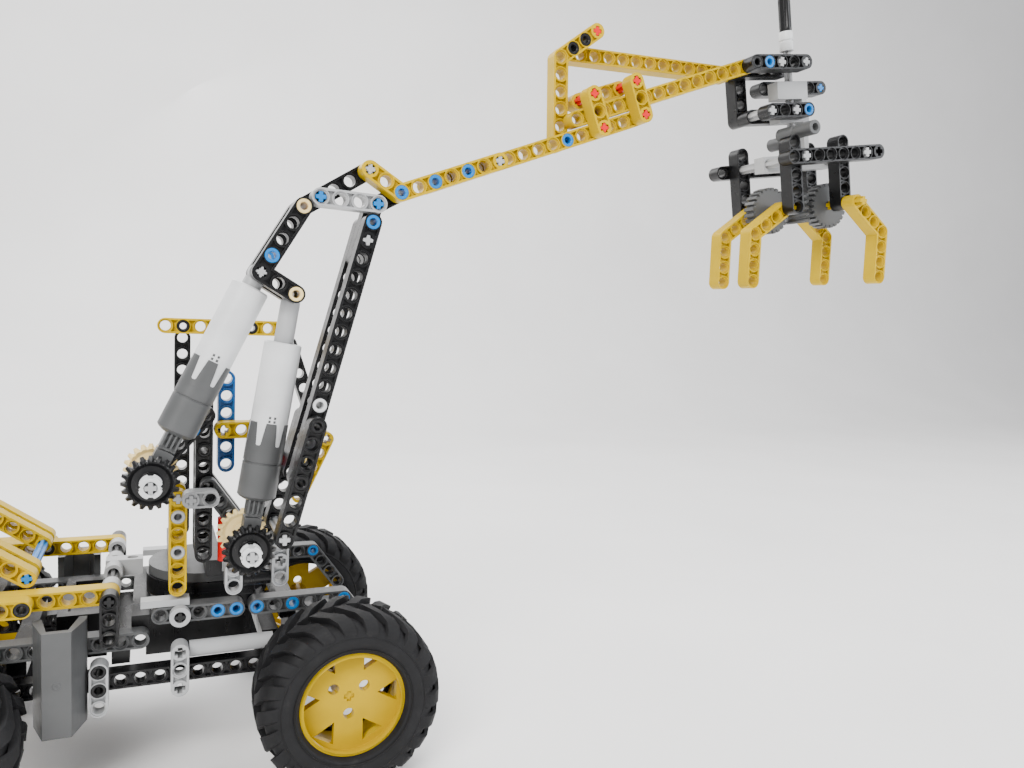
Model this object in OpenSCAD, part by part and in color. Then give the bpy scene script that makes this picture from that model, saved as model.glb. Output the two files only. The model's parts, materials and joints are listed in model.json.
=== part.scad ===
// Truck-mounted crane built from a pin-and-hole construction kit: four balloon wheels, a slewing
// tower, a boom and jib worked by two screw actuators, and a four-finger claw.
// +X is the crane's reach and +Z is up. The origin is on the floor, midway along and across the
// whole model. Distances y in the modules run from the vehicle's centre plane.

/* [Construction system] */
// Distance between neighbouring holes
pitch = 8; // [7.9:0.1:8.1]
// Height of a beam across its holes
beam_w = 7.4; // [7.2:0.1:7.5]
// Thickness of a beam along its holes
beam_t = 7.8; // [7.6:0.1:7.8]
// Radius of a pin hole
hole_r = 2.45; // [2.43:0.01:2.48]
// Radius of pins and axles
pin_r = 2.4; // [2.38:0.01:2.4]
// Width of one arm of a cross axle
cross_w = 1.8; // [1.6:0.1:1.9]

/* [Wheels] */
// Outside diameter of a tyre
tyre_d = 81.6; // [78:0.2:82]
// Width of a tyre
tyre_w = 38; // [34:1:38]
// Distance between the front and rear axles
wheelbase = 168; // [168:8:176]
// Distance between the outer faces of the left and right tyres
track_w = 176; // [174:1:180]

/* [Crane pose] */
// Lean of the boom above horizontal
boom_angle = 75; // [74:0.5:76]
// Rise of the jib above horizontal
jib_angle = 22; // [21:0.5:23]
// Tilt of the claw head from plumb
head_tilt = 9; // [8:0.5:10]

/* [Hidden] */
$fn = 32;
gap = 0.2;
lip_r = 3.05;
bore_r = 3.1;
bore_h = 0.8;
pocket_h = 1.6;
pocket_w = 5.4;
arm_y = -82;
tower_y = arm_y + 5 * pitch;
rail_y = 42;
wheel_z = tyre_d / 2;
slew_x = -56;
deck_z = 92;
rail_z = 76;
sill_z = 66;
arm_z = 87;
beam_z = 49;
bend = atan2(4, 3);
pivot = [-32, 119.4];
base1 = [-82, 143];
base2 = [-44.5, 113];

// Points in the arm plane are [x, z]
function dir(a) = [cos(a), sin(a)];
function row(p, n, a) = [for (i = [0 : n - 1]) p + i * pitch * dir(a)];
function meet(a, ra, b, rb) =
    let (d = norm(b - a), x = (ra * ra - rb * rb + d * d) / (2 * d), h = sqrt(ra * ra - x * x))
    let (e = (b - a) / d)
    a + x * e + h * [-e[1], e[0]];
function heading(a, b) = atan2(b[1] - a[1], b[0] - a[0]);
function snap(v) = round(v * 1000) / 1000;
function local(v, a) = [snap(v[0] * cos(a) + v[1] * sin(a)), snap(v[1] * cos(a) - v[0] * sin(a))];
function head_at(x, z) = head_o + x * dir(head_tilt) + z * dir(head_tilt + 90);
function jib_at(i, j) = jib_o + i * pitch * dir(jib_angle) + j * pitch * dir(jib_angle + 90);
function boom_at(i, j) = pivot + i * pitch * dir(boom_angle) + j * pitch * dir(boom_angle - 90);

rock_t = boom_at(18, 0);
jib_o = boom_at(19, 1);
tail_y = jib_o + 2 * pitch * dir(jib_angle + (180 - bend));
rock_j = meet(rock_t, 3 * pitch, tail_y, 3 * pitch);
bell_k = tail_y + 4 * pitch * dir(heading(tail_y, rock_j));
bell_a = heading(rock_j, bell_k) + 26.2;
bell_q = bell_k + 4 * pitch * dir(bell_a);
bell_e = bell_q + 2 * pitch * dir(bell_a + 90);
head_o = jib_at(25, 1) + 2 * pitch * dir(head_tilt);
claw_z = -74;
claw_x = 20;
column_x = 14;
foot_h = 13;
housing_h = 87;
tube_r = 7.9;
screw_r = 2.9;
rod_r = 4.0;
claw_y = arm_y + pitch;
mast_a = 69.853;
mast_o = [11, 0];

// Middle of the model along x, so that it stands centred on x = 0
finger_x = head_at(column_x + claw_x, claw_z)[0] + 3 * pitch * cos(90 - bend) + beam_w / 2;
mid_x = (finger_x - wheelbase - tyre_d / 2) / 2;

// Middle of the model across y, between the ends of the claw's axles and the left tyres
claw_half = 32;
mid_y = (claw_y - claw_half + track_w / 2) / 2;

// ---- shared shapes ----

// A point of the arm plane, at a distance y across the vehicle
module at(p, y) { translate([p[0] - mid_x, y - mid_y, p[1]]) children(); }

// Stands a flat shape up across y, with its thickness centred there
module slab(y, t) {
    translate([0, y + t / 2, 0]) rotate([90, 0, 0]) linear_extrude(t) children();
}

// A cross whose corners lie on a circle of radius r
module cross2d(r, w) {
    reach = sqrt(r * r - w * w / 4);
    square([2 * reach, w], center = true);
    square([w, 2 * reach], center = true);
}

module outline(pts) {
    for (p = pts) translate(p) circle(beam_w / 2);
    for (i = [1 : len(pts) - 1])
        translate(pts[i - 1]) rotate(heading(pts[i - 1], pts[i]))
            translate([0, -beam_w / 2]) square([norm(pts[i] - pts[i - 1]), beam_w]);
}

module pockets(pts) {
    for (i = [1 : len(pts) - 1]) difference() {
        translate(pts[i - 1]) rotate(heading(pts[i - 1], pts[i]))
            translate([0, -pocket_w / 2]) square([norm(pts[i] - pts[i - 1]), pocket_w]);
        for (p = [pts[i - 1], pts[i]]) translate(p) circle(beam_w / 2 - 0.2);
    }
}

module holes(pts, axles, r) {
    for (i = [0 : len(pts) - 1]) translate(pts[i])
        if (len(search(i, axles)) > 0) cross2d(hole_r + 0.05, cross_w + 0.2);
        else circle(r);
}

// A beam through the hole centres pts, on layer centre y; axles lists the cross holes.
// It is drawn along x from its first hole and then turned, so that its outline stays exact.
module liftarm(pts, y, axles = []) {
    turn = heading(pts[0], pts[1]);
    flat = [for (p = pts) local(p - pts[0], turn)];
    core = beam_t - 2 * pocket_h;
    rim = pocket_h - bore_h;
    at(pts[0], y) rotate([0, -turn, 0]) {
        slab(0, core) difference() { outline(flat); holes(flat, axles, hole_r); }
        for (s = [-1, 1]) {
            slab(s * (core + rim) / 2, rim) difference() {
                outline(flat);
                holes(flat, axles, hole_r);
                pockets(flat);
            }
            slab(s * (beam_t - bore_h) / 2, bore_h) difference() {
                outline(flat);
                holes(flat, axles, bore_r);
                pockets(flat);
            }
        }
    }
}

// A pin along y with a lip at each end that sits in a counterbore
module pin(p, y0, y1) {
    at(p, y0) rotate([-90, 0, 0]) difference() {
        union() {
            cylinder(r = pin_r, h = y1 - y0);
            translate([0, 0, 0.05]) cylinder(r = lip_r, h = 0.6);
            translate([0, 0, y1 - y0 - 0.65]) cylinder(r = lip_r, h = 0.6);
        }
        translate([0, 0, -1]) cylinder(r = 1.5, h = 4);
        translate([0, 0, y1 - y0 - 3]) cylinder(r = 1.5, h = 4);
    }
}

// A cross axle along y, turned with the beam whose cross hole it fills
module shaft(p, y0, y1, turn = 0) {
    at(p, y0) rotate([0, -turn, 0]) rotate([-90, 0, 0]) linear_extrude(y1 - y0)
        cross2d(pin_r, cross_w);
}

module bush(p, y0, h) {
    at(p, y0) rotate([-90, 0, 0]) difference() {
        union() {
            cylinder(r = 2.9 + 0.8, h = h);
            cylinder(r = 4.4, h = 1.6);
            translate([0, 0, h - 1.6]) cylinder(r = 4.4, h = 1.6);
        }
        translate([0, 0, -1]) linear_extrude(h + 2) cross2d(hole_r, cross_w + 0.1);
    }
}

// A block with a round bore along y
module sleeve(p, y0, h, r) {
    at(p, y0) rotate([-90, 0, 0]) difference() {
        cylinder(r = r, h = h);
        translate([0, 0, -1]) cylinder(r = hole_r, h = h + 2);
    }
}

module gear2d(teeth, root_r, tip_r, w) {
    circle(root_r);
    for (i = [0 : teeth - 1]) rotate(i * 360 / teeth)
        translate([0, -w / 2]) square([tip_r, w]);
}

module box(p, y, size) {
    at(p, y) translate(-size / 2) cube(size);
}

// ---- chassis ----
module side_rails() color("dimgray") for (s = [-1, 1]) {
    liftarm(row([-78, rail_z], 5, 0), s * rail_y);
    liftarm(row([-174, sill_z], 12, 0), s * rail_y);
}

module bent_frames() color("dimgray") for (s = [-1, 1])
    liftarm(concat(row([-37, rail_z], 6, 0), row([3, rail_z] + pitch * dir(-bend), 3, -bend)),
        s * rail_y);

module black_beams() color([0.1, 0.1, 0.1]) {
    for (s = [-1, 1]) {
        liftarm(row([-150, beam_z], 18, 0), s * rail_y);
        liftarm(row([-98, arm_z], 3, -90), s * (rail_y + pitch));
    }
    for (x = [-134, -94, -30]) box([x, 57.5], 0, [7.4, 2 * rail_y - beam_t - 0.4, 8]);
    for (x = [-150, -86, -22]) box([x, 70.5], 0, [7.4, 2 * rail_y - beam_t - 0.4, 8]);
}

module turntable_base() color([0.16, 0.16, 0.16])
    at([slew_x, 75], 0) difference() {
        union() {
            cylinder(r = 28, h = 8.4);
            translate([-20, -36, 0]) cube([40, 72, 4]);
        }
        translate([0, 0, -1]) cylinder(r = 10, h = 12);
    }

module gearbox() color([0.13, 0.13, 0.13]) difference() {
    union() {
        box([-110, 64], 0, [20, 56, 20]);
        box([-62, 57.5], 0, [44, 40, 17]);
    }
    for (s = [-1, 1]) box([-110, 76], s * 14, [12, 16, 8]);
}

module axle_housings() color("dimgray") for (x = [0, -wheelbase]) difference() {
    union() {
        at([x, wheel_z], -46) rotate([-90, 0, 0]) cylinder(r = 7, h = 92);
        box([x, 47], 0, [36, 24, 22]);
        box([x, 49], 0, [12, 2 * rail_y - beam_t - 0.4, 7]);
    }
    at([x, wheel_z], -60) rotate([-90, 0, 0]) cylinder(r = hole_r, h = 120);
}

// Bevelled side shield drawn from above
module side_panels() color([0.35, 0.36, 0.36]) for (s = [-1, 1])
    at([-116.5, 36], s * 56) linear_extrude(44) scale([1, -s]) difference() {
        polygon([[-10, -9], [10, -9], [10, 9], [7, 9], [4, -6], [-4, -6], [-7, 9], [-10, 9]]);
        polygon([[-11, -10], [-5, -10], [-11, 8]]);
        polygon([[11, -10], [5, -10], [11, 8]]);
    }

module body_arms() color("gold") for (s = [-1, 1]) {
    liftarm(row([-186, arm_z], 12, 0), s * rail_y);
    liftarm(row([-186, arm_z], 8, 0), s * (rail_y + pitch));
}

module body_diagonals() color("gold") for (y = [-34, -22, 22, 34])
    liftarm(row([-130, 95], 7, 145), y, [0]);

module frame_links() color("silver") {
    for (s = [-1, 1]) {
        liftarm(row([-102, 57], 3, -90), s * 50);
        liftarm(row([-70, 45.5], 3, 90), s * 50, [0, 2]);
        sleeve([-70, rail_z], s * 48 - 2, 4, 4.4);
        at([-66, 60], s * 46) rotate([0, 90, 0]) cylinder(r = 3.6, h = 36);
        box([-76, rail_z + 5.4], s * rail_y, [20, 7, 3]);
        for (y = [8.5, 34]) sleeve([-98, arm_z], s * y - 4, 8, 4);
    }
    difference() {
        box([-93.6, arm_z], 0, [16.2, 8, 7.4]);
        at([-98, arm_z], -10) rotate([-90, 0, 0]) cylinder(r = hole_r, h = 20);
        at([-90, 80], 0) cylinder(r = hole_r, h = 14);
    }
}

// The pins that join the rails, the links and the body arms, as [x, z, inner y, outer y]
frame_pins = [
    [-54, rail_z, 38.1, 45.9], [-46, rail_z, 38.1, 45.9], [-37, rail_z, 38.1, 45.9],
    [-21, rail_z, 38.1, 45.9], [3, rail_z, 38.1, 45.9], [-130, arm_z, 38.1, 53.9],
    [-146, arm_z, 38.1, 53.9], [-102, beam_z, 38.1, 53.9], [-102, 57, 46.1, 53.9]];

module chassis_pins() color([0.12, 0.42, 0.75]) {
    for (p = frame_pins) {
        pin([p[0], p[1]], p[2], p[3]);
        pin([p[0], p[1]], -p[3], -p[2]);
    }
    for (s = [-1, 1]) shaft([-70, rail_z], s * 44.3 - 6.2, s * 44.3 + 6.2);
    shaft([-98, arm_z], -54, 54);
    shaft([-130, 95], -38, 38, 145);
}

// ---- slewing tower ----
module turntable_top() color("gray") at([slew_x, 0], 0) difference() {
    union() {
        translate([0, 0, 83.6]) cylinder(r = 27, h = 4.4);
        translate([0, 0, 72]) cylinder(r = 9.95, h = 12);
    }
    translate([0, 0, 60]) cylinder(r = 4, h = 40);
}

module tower_yellow() color("gold") {
    liftarm(row([-71, 88], 6, 90), tower_y, [5]);
    liftarm(row([-71, 96], 5, 90), tower_y + 2 * pitch, [4]);
    liftarm(row([-52, 157], 3, 0), tower_y + pitch, [0]);
}

module tower_black() color([0.1, 0.1, 0.1]) {
    box([-71, deck_z], 5.6, [7, 54.8, 7.4]);
    for (x = [-55, -35]) box([x, deck_z], 0, [7, 66, 7.4]);
    for (y = [tower_y + pitch, tower_y + 3 * pitch]) liftarm(row([-60, 100], 11, 90), y);
    for (y = [arm_y + 3 * pitch, tower_y]) liftarm(row(base1, 5, 48), y);
    liftarm(row(pivot - [0, 3 * pitch], 4, 90), tower_y);
    liftarm(row(pivot - [0, 2 * pitch], 3, 90), tower_y + 2 * pitch);
    liftarm(row([-68, 101], 13, 90), 14);
    at([-44, 91], tower_y - pitch) rotate([0, 90, 0]) cylinder(r = 3, h = 12);
    liftarm(row([-20, 203] + pitch * dir(-71), 7, -71), 6);
}

module tower_blue() color([0.1, 0.28, 0.6])
    liftarm(row([-50, 140], 6, 90), tower_y + 2 * pitch);

module tower_diagonals() color("dimgray")
    for (y = [tower_y, tower_y + 2 * pitch]) liftarm(row(base2 + pitch * dir(-55), 5, 125), y);

module tower_brackets() color("silver") {
    liftarm(row([-66, 129], 2, 0), tower_y - pitch, [0]);
    liftarm(row([-28, 91], 3, 90), tower_y - pitch, [1]);
    liftarm(row([-48, 89], 2, 90), tower_y - pitch);
    liftarm(row([-30, 138], 2, 90), tower_y - pitch, [0, 1]);
}

module red_tube() color("red") at([-50, 96], tower_y + pitch) difference() {
    cylinder(r = 3.7, h = 20);
    translate([0, 0, -1]) cylinder(r = hole_r, h = 22);
}

module cab_frame() color("gold") {
    liftarm(row([-76, 203], 8, 0), 6);
    liftarm(row([1, 147], 5, -115), -2, [0]);
}

module tower_axles() color("gray") {
    shaft(pivot, arm_y - 12, tower_y + 20);
    for (p = [[-71, 104], [-71, 120]]) pin(p, tower_y - 3.9, tower_y + 20);
    pin([-60, 148], tower_y + 4, tower_y + 28);
    shaft([-66, 129], tower_y - 13, tower_y - 4.2);
}

// ---- actuator drive ----
module drive_gear(p) color([0.1, 0.1, 0.1]) at(p, arm_y + 3.2) rotate([90, 0, 0])
    linear_extrude(6.4) difference() { gear2d(20, 8.9, 11, 1.6); cross2d(hole_r, cross_w + 0.1); }

module bevel_gear(p) color("khaki") at(p, tower_y - 11) rotate([-90, 0, 0])
    linear_extrude(4) difference() { gear2d(20, 9.2, 11, 1.6); cross2d(hole_r, cross_w + 0.1); }

module gear_axle(p) color("gainsboro") {
    shaft(p, arm_y - 12, tower_y + 5);
    bush(p, arm_y - 11, 7);
}

module gear_1() drive_gear(base1);
module gear_2() drive_gear(base2);
module bevel_1() bevel_gear(base1);
module bevel_2() bevel_gear(base2);
module gear_axle_1() gear_axle(base1);
module gear_axle_2() gear_axle(base2);

// ---- screw actuators, drawn along +z from their foot pivot ----
module along(a, b) {
    at(a, arm_y + pitch) rotate([0, 90 - heading(a, b), 0]) children();
}

module yoke(a, b) color("dimgray") along(a, b) difference() {
    union() {
        rotate([90, 0, 0]) cylinder(r = 4.4, h = beam_t, center = true);
        intersection() {
            translate([-3.6, -beam_t / 2, 0]) cube([7.2, beam_t, foot_h]);
            rotate([90, 0, 0]) cylinder(r = foot_h - gap, h = beam_t, center = true);
        }
    }
    rotate([90, 0, 0]) cylinder(r = hole_r, h = 20, center = true);
}

module actuator_tube(a, b) color("lightgray") along(a, b) difference() {
    translate([0, 0, foot_h]) union() {
        cylinder(r = tube_r, h = housing_h - foot_h);
        cylinder(r = tube_r + 0.1, h = 16);
    }
    translate([0, 0, foot_h + 6]) cylinder(r = rod_r + 0.1, h = housing_h);
}

module screw(a, b) color("gray") along(a, b)
    translate([0, 0, foot_h + 7]) cylinder(r = screw_r, h = housing_h - foot_h - 12);

module rod(a, b) color("lightgray") along(a, b) {
    reach = norm(b - a);
    translate([0, 0, reach]) rotate([90, 0, 0]) difference() {
        cylinder(r = 3.9, h = beam_t, center = true);
        cylinder(r = hole_r, h = 20, center = true);
    }
    difference() {
        translate([0, 0, foot_h + 8]) cylinder(r = rod_r, h = reach - foot_h - 11);
        translate([0, 0, foot_h]) cylinder(r = screw_r + 0.1, h = housing_h - foot_h - 2);
    }
}

module yoke_1() yoke(base1, bell_q);
module tube_1() actuator_tube(base1, bell_q);
module screw_1() screw(base1, bell_q);
module rod_1() rod(base1, bell_q);
module yoke_2() yoke(base2, bell_e);
module tube_2() actuator_tube(base2, bell_e);
module screw_2() screw(base2, bell_e);
module rod_2() rod(base2, bell_e);

// ---- boom ----
module boom_beams() color([0.1, 0.1, 0.1])
    for (k = [0, 2]) liftarm([for (i = [3 : 17]) boom_at(i, 0)], arm_y + k * pitch, [13]);

module boom_feet() color([0.1, 0.1, 0.1])
    for (k = [-1, 3]) liftarm([for (i = [0 : 6]) boom_at(i, 0)], arm_y + k * pitch);

module boom_head() color([0.1, 0.1, 0.1])
    liftarm([boom_at(15, 0), boom_at(16, 0), boom_at(17, 0), rock_t, jib_o], arm_y + pitch);

module boom_pins() color([0.12, 0.42, 0.75]) {
    for (i = [5, 7, 17]) pin(boom_at(i, 0), arm_y - 3.9, arm_y + 2 * pitch + 3.9);
    for (i = [3, 6]) pin(boom_at(i, 0), arm_y - pitch - 3.9, arm_y + 3.9);
    for (i = [4, 6]) pin(boom_at(i, 0), arm_y + 2 * pitch - 3.9, arm_y + 3 * pitch + 3.9);
    shaft(boom_at(16, 0), arm_y - 3.9, arm_y + 2 * pitch + 3.9, boom_angle);
    pin(rock_t, arm_y - 3.9, arm_y + pitch + 3.9);
    pin(jib_o, arm_y - 3.9, arm_y + pitch + 3.9);
}

// ---- linkage between boom and jib ----
module rocker() color("silver")
    liftarm([for (i = [0 : 3]) rock_t + i * pitch * dir(heading(rock_t, rock_j))], arm_y);

module bell_plates() color([0.1, 0.1, 0.1]) {
    for (k = [0, 2])
        liftarm(concat(row(bell_k, 5, bell_a), row(bell_q + pitch * dir(bell_a + 90), 2, bell_a + 90)),
            arm_y + k * pitch, [4]);
    liftarm(row(tail_y, 5, heading(tail_y, rock_j)), arm_y + pitch);
}

module bell_pins() color("tan") {
    pin(bell_k, arm_y - 3.9, arm_y + 2 * pitch + 3.9);
    pin(rock_j, arm_y - 3.9, arm_y + pitch + 3.9);
    for (k = [0, 2]) {
        pin(bell_e, arm_y + k * pitch - 3.9, arm_y + k * pitch + 3.9);
        pin(bell_k + 3 * pitch * dir(bell_a), arm_y + k * pitch - 3.9, arm_y + k * pitch + 3.9);
        shaft(bell_q, arm_y + k * pitch - 3.9, arm_y + k * pitch + 3.9, bell_a);
    }
}

// ---- jib ----
module jib_bent() color("gold")
    liftarm([tail_y, (tail_y + jib_o) / 2, for (i = [0 : 6]) jib_at(i, 0)], arm_y, [0, 8]);

module jib_beams() color("gold") {
    liftarm([for (i = [2 : 16]) jib_at(i, 0)], arm_y + pitch);
    liftarm([for (i = [12 : 26]) jib_at(i, 1)], arm_y + pitch);
    for (i = [13, 16]) liftarm([for (j = [0 : 2]) jib_at(i, j)], arm_y, [0, 2]);
    liftarm(brace_pts, arm_y + 3 * pitch);
}

function mast_at(i, j) = jib_at(mast_o[0] + i * cos(mast_a) + j * cos(mast_a - bend),
    mast_o[1] + i * sin(mast_a) + j * sin(mast_a - bend));
brace_a = heading(mast_at(5, 1), jib_at(25, 1));
brace_pts = [for (i = [0 : 12]) mast_at(5, 1) + i * pitch * dir(brace_a)];

module jib_mast() {
    color("gold") liftarm([for (i = [0 : 5]) mast_at(i, 0), for (j = [1 : 3]) mast_at(5, j)],
        arm_y + 2 * pitch, [8]);
    color("gray") liftarm([for (i = [13 : 16]) jib_at(i, 2)], arm_y + 2 * pitch, [0, 3]);
}

module jib_pins() color([0.85, 0.1, 0.1]) {
    for (i = [2, 4]) pin(jib_at(i, 0), arm_y - 3.9, arm_y + pitch + 3.9);
    for (i = [13, 16]) {
        shaft(jib_at(i, 0), arm_y - 3.9, arm_y + pitch + 3.9, jib_angle);
        shaft(jib_at(i, 2), arm_y - 3.9, arm_y + 2 * pitch + 3.9, jib_angle);
    }
    pin(mast_at(0, 0), arm_y + pitch - 3.9, arm_y + 2 * pitch + 3.9);
    pin(mast_at(5, 1), arm_y + 2 * pitch - 3.9, arm_y + 3 * pitch + 3.9);
    pin(jib_at(25, 1), arm_y - 3.9, arm_y + 3 * pitch + 3.9);
}

// ---- claw head ----
module head_frame() color([0.1, 0.1, 0.1]) {
    for (k = [0, 2]) {
        liftarm([for (i = [-2 : 2]) head_at(i * pitch, 0)], arm_y + k * pitch, [4]);
        liftarm([for (i = [-1 : 2]) head_at(i * pitch, -3 * pitch)], arm_y + k * pitch);
    }
    liftarm([for (i = [1 : 6]) head_at(i * pitch, -pitch)], arm_y + 3 * pitch, [5]);
    liftarm([for (i = [0 : 3]) head_at(-pitch, -i * pitch)], arm_y + 3 * pitch);
    for (s = [-1, 1]) {
        liftarm([for (i = [0 : 4]) head_at(column_x - claw_x, claw_z + i * pitch)], claw_y + s * 20);
        liftarm([for (i = [0 : 4]) head_at(column_x + claw_x, claw_z + i * pitch)], claw_y + s * 12);
        liftarm([for (i = [0 : 7]) head_at(column_x - 28 + i * pitch, -50)], claw_y + s * 28, [7]);
    }
}

module head_connectors() color("gray") {
    at(head_at(column_x, 0), claw_y) rotate([0, -head_tilt, 0]) difference() {
        union() {
            for (z = [-17, -29]) translate([-11, -3.8, z]) cube([20, 7.6, 9]);
            translate([-23, -3.8, -54]) cube([46, 7.6, 8]);
            translate([5, -3.8, -50]) cube([3, 7.6, 40]);
            translate([4, 0, -13]) cube([4, 12.05, 4]);
        }
        translate([0, 0, -60]) cylinder(r = hole_r, h = 60);
        for (p = [[-claw_x, -50], [claw_x, -50], [-6, -24]])
            translate([p[0], 20, p[1]]) rotate([90, 0, 0]) cylinder(r = hole_r, h = 40);
    }
    for (x = [-claw_x, claw_x]) 
        shaft(head_at(column_x + x, -50), claw_y - claw_half, claw_y + claw_half, head_tilt);
    for (p = [[0, 0], [8, -24]]) shaft(head_at(p[0], p[1]), arm_y - 3.9, arm_y + 2 * pitch + 3.9);
    shaft(head_at(-pitch, -24), arm_y - 3.9, arm_y + 3 * pitch + 3.9);
}

module crank_handle() color([0.1, 0.1, 0.1]) at(head_at(column_x, 0), claw_y)
    rotate([0, -head_tilt, 0]) {
        translate([0, 0, 8]) cylinder(r = 3.7, h = 10);
        translate([0, 0, 18]) cylinder(r = 3.2, h = 18);
    }

module worm_screw() color("dimgray") at(head_at(column_x, 0), claw_y)
    rotate([0, -head_tilt, 0]) {
        translate([0, 0, -66]) cylinder(r = pin_r, h = 74);
        for (i = [0 : 4]) translate([0, 0, claw_z - 7 + i * 3.2]) cylinder(r = 7, h = 1.8);
        translate([0, 0, claw_z - 8]) cylinder(r = 5.6, h = 16);
    }

module claw(s, half) color("gold") {
    root = head_at(column_x + s * claw_x, claw_z);
    knee = root + 3 * pitch * [s * cos(36.87), -sin(36.87)];
    for (y = [claw_y - half, claw_y + half])
        liftarm([for (i = [0 : 3]) root + i / 3 * (knee - root),
            for (i = [1 : 3]) knee - i * [0, pitch]], y, [0]);
    shaft(root, claw_y - half - 8, claw_y + half + 8);
    at(root, claw_y + 3.5) rotate([90, 0, 0]) linear_extrude(7) difference() {
        gear2d(24, 10.4, 12, 1.4);
        cross2d(hole_r, cross_w + 0.1);
    }
}

module claw_left() claw(-1, 12);
module claw_right() claw(1, 20);

// ---- wheels ----
module tyre(x, s) color([0.1, 0.1, 0.1])
    at([x, wheel_z], s * (track_w - tyre_w) / 2) rotate([90, 0, 0]) rotate_extrude($fn = 96) polygon([
        [23, -15], [28.2, -13], [28.2, 13], [23, 15], [24, 18], [34, 19], [39, 17.5], [40.8, 14],
        [40.8, -14], [39, -17.5], [34, -19], [24, -18]]);

module rim(x, s) color("gold")
    at([x, wheel_z], s * (track_w - tyre_w) / 2) rotate([-s * 90, 0, 0]) {
        rotate_extrude($fn = 96) polygon([[25, -13], [28.1, -13], [28.1, 13], [22.9, 14.9],
            [21.6, 16], [21.6, 13.6], [25, 11]]);
        translate([0, 0, 2]) linear_extrude(4) difference() {
            circle(25.2);
            cross2d(hole_r, cross_w + 0.1);
            for (i = [0 : 2]) rotate(30 + i * 120) translate([pitch, 0]) circle(hole_r);
            for (i = [0 : 5]) rotate(i * 60)
                translate([17.5, 0]) polygon([[-4.5, 0], [4.5, -5], [4.5, 5]]);
        }
        translate([0, 0, -14]) linear_extrude(16) difference() { circle(5.6); cross2d(hole_r, cross_w + 0.1); }
        translate([0, 0, -44]) linear_extrude(49) cross2d(pin_r, cross_w);
    }

module tyre_fr() tyre(0, -1);
module rim_fr() rim(0, -1);
module tyre_fl() tyre(0, 1);
module rim_fl() rim(0, 1);
module tyre_rr() tyre(-wheelbase, -1);
module rim_rr() rim(-wheelbase, -1);
module tyre_rl() tyre(-wheelbase, 1);
module rim_rl() rim(-wheelbase, 1);

side_rails();
bent_frames();
black_beams();
turntable_base();
gearbox();
axle_housings();
side_panels();
body_arms();
body_diagonals();
frame_links();
chassis_pins();
turntable_top();
tower_yellow();
tower_black();
tower_blue();
tower_diagonals();
tower_brackets();
red_tube();
cab_frame();
tower_axles();
gear_1();
bevel_1();
gear_axle_1();
gear_2();
bevel_2();
gear_axle_2();
yoke_1();
tube_1();
screw_1();
rod_1();
yoke_2();
tube_2();
screw_2();
rod_2();
boom_beams();
boom_feet();
boom_head();
boom_pins();
rocker();
bell_plates();
bell_pins();
jib_bent();
jib_beams();
jib_mast();
jib_pins();
head_frame();
head_connectors();
crank_handle();
worm_screw();
claw_left();
claw_right();
tyre_fr();
rim_fr();
tyre_fl();
rim_fl();
tyre_rr();
rim_rr();
tyre_rl();
rim_rl();
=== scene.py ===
import bpy
import bmesh
import json
import math
from mathutils import Matrix, Vector


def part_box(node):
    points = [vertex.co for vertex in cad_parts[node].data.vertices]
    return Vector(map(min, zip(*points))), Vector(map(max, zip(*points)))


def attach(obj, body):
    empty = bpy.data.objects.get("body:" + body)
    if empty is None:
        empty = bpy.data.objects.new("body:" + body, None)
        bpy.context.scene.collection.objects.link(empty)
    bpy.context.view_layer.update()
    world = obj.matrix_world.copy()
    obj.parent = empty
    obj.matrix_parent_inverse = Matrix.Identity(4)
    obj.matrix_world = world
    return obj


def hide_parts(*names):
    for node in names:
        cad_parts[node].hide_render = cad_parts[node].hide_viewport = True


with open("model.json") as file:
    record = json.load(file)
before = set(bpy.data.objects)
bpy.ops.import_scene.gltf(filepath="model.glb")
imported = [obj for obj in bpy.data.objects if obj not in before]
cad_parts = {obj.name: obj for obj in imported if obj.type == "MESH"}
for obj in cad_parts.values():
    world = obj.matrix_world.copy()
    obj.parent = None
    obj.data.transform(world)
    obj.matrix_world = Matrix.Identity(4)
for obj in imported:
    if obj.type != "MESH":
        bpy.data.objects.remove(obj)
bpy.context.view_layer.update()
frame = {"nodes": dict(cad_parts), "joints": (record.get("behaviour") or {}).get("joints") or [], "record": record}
MM = 0.001

NODES = frame["nodes"]
JOINTS = {j["name"]: j for j in frame["joints"]}

# Distances across the model are counted in mm from the vehicle's centre plane
CENTRE_Y = (JOINTS["wheel_roll_fr"]["pos_m"][1] + JOINTS["wheel_roll_fl"]["pos_m"][1]) / 2 / MM


# ---- camera -------------------------------------------------------------------------------
CAMERA_AT = (-0.1173, CENTRE_Y * MM - 0.4302, 0.2123)
CAMERA_YAW = 23.58
CAMERA_DOWN = 4.48
CAMERA_ROLL = 2.19
FOCAL_SHARE = 823.6 / 1024
SENSOR_MM = 36.0


def add_camera():
    """A camera that looks along +Y, turned towards +X, tipped down and rolled a little."""
    yaw, down, roll = (math.radians(a) for a in (CAMERA_YAW, CAMERA_DOWN, CAMERA_ROLL))
    level, drop = math.cos(down), -math.sin(down)
    ahead = Vector((math.sin(yaw) * level, math.cos(yaw) * level, drop))
    flat = Vector((math.cos(yaw), -math.sin(yaw), 0))
    above = flat.cross(ahead)
    right = math.cos(roll) * flat + math.sin(roll) * above
    up = math.cos(roll) * above - math.sin(roll) * flat
    data = bpy.data.cameras.new("camera")
    data.sensor_width = SENSOR_MM
    data.lens = FOCAL_SHARE * SENSOR_MM
    data.clip_start = 0.01
    camera = bpy.data.objects.new("camera", data)
    turn = Matrix((right, up, -ahead)).transposed().to_4x4()
    camera.matrix_world = Matrix.Translation(CAMERA_AT) @ turn
    bpy.context.collection.objects.link(camera)
    bpy.context.scene.camera = camera


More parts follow.
